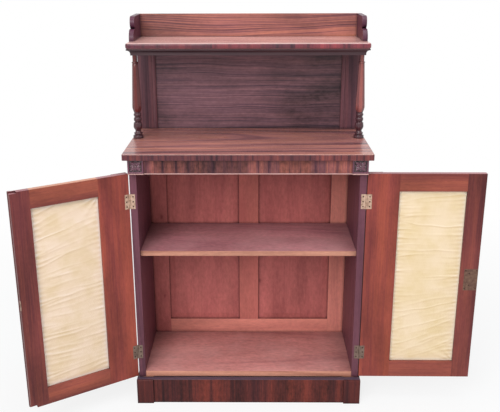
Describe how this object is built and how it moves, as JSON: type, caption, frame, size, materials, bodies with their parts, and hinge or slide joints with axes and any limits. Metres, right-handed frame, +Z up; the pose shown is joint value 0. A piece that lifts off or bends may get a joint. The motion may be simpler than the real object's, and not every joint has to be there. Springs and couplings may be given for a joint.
{
  "type": "chiffonier",
  "caption": "Rosewood chiffonier: low cupboard with silk-panelled doors standing open, moulded top, and a superstructure of turned columns, shelf and gallery.",
  "frame": {"origin": "middle of the front plinth board's underside, on the floor, half way between the carcase's two sides", "axes": "+X to the right seen from the front, +Y from the front to the back, +Z up"},
  "size_m": [1.5438, 0.6002, 1.36],
  "materials": {
    "rosewood": "french polished",
    "stained_mahogany": "red stained, dull wax",
    "silk": "pleated silk, soft sheen",
    "brass": "aged"
  },
  "bodies": {
    "carcase": {"side_left": "rosewood", "side_right": "rosewood", "bottom_board": "stained_mahogany", "shelf_middle": "stained_mahogany", "top_rail_front": "stained_mahogany", "top_rail_back": "stained_mahogany", "frieze_board": "rosewood", "frieze_bead": "rosewood", "frieze_block_left": "rosewood", "frieze_block_right": "rosewood", "back_stile_left": "stained_mahogany", "back_stile_right": "stained_mahogany", "back_rail_bottom": "stained_mahogany", "back_rail_top": "stained_mahogany", "back_muntin": "stained_mahogany", "back_panel_left": "stained_mahogany", "back_panel_right": "stained_mahogany", "plinth_front": "rosewood", "plinth_block_left": "rosewood", "plinth_block_right": "rosewood", "plinth_side_left": "rosewood", "plinth_side_right": "rosewood", "plinth_back": "stained_mahogany", "plinth_glue_blocks": "stained_mahogany", "top_board": "rosewood", "upper_back_stile_left": "rosewood", "upper_back_stile_right": "rosewood", "upper_back_panel": "rosewood", "upper_back_bead_left": "rosewood", "upper_back_bead_right": "rosewood", "upper_shelf": "rosewood", "upper_shelf_moulding": "rosewood", "column_left": "rosewood", "column_right": "rosewood", "gallery_back": "rosewood", "gallery_end_left": "rosewood", "gallery_end_right": "rosewood", "hinge_leaves_carcase": "brass"},
    "door_left": {"door_left_hinge_stile": "stained_mahogany", "door_left_meeting_stile": "stained_mahogany", "door_left_bottom_rail": "stained_mahogany", "door_left_top_rail": "stained_mahogany", "door_left_silk": "silk", "door_left_sight_moulding": "rosewood", "door_left_pilaster": "rosewood", "door_left_hinge_leaves": "brass", "door_left_astragal": "rosewood", "strike_plate": "brass"},
    "door_right": {"door_right_hinge_stile": "stained_mahogany", "door_right_meeting_stile": "stained_mahogany", "door_right_bottom_rail": "stained_mahogany", "door_right_top_rail": "stained_mahogany", "door_right_silk": "silk", "door_right_sight_moulding": "rosewood", "door_right_pilaster": "rosewood", "door_right_hinge_leaves": "brass", "lock_case": "brass", "keyhole_liner": "brass"},
    "lock_bolt": {"lock_bolt": "brass"}
  },
  "joints": [
    {"name": "door_left_hinge", "type": "hinge", "parent": "carcase", "child": "door_left", "pos_m": [-0.3998, 0.0115, 0.481], "axis": [0, 0, 1], "range_deg": [-33, 146.5]},
    {"name": "door_right_hinge", "type": "hinge", "parent": "carcase", "child": "door_right", "pos_m": [0.3998, 0.0115, 0.481], "axis": [0, 0, 1], "range_deg": [-179.6, 0]},
    {"name": "lock_bolt_slide", "type": "slide", "parent": "door_right", "child": "lock_bolt", "axis": [1, -0.007, 0], "range_m": [0, 0.008]}
  ]
}
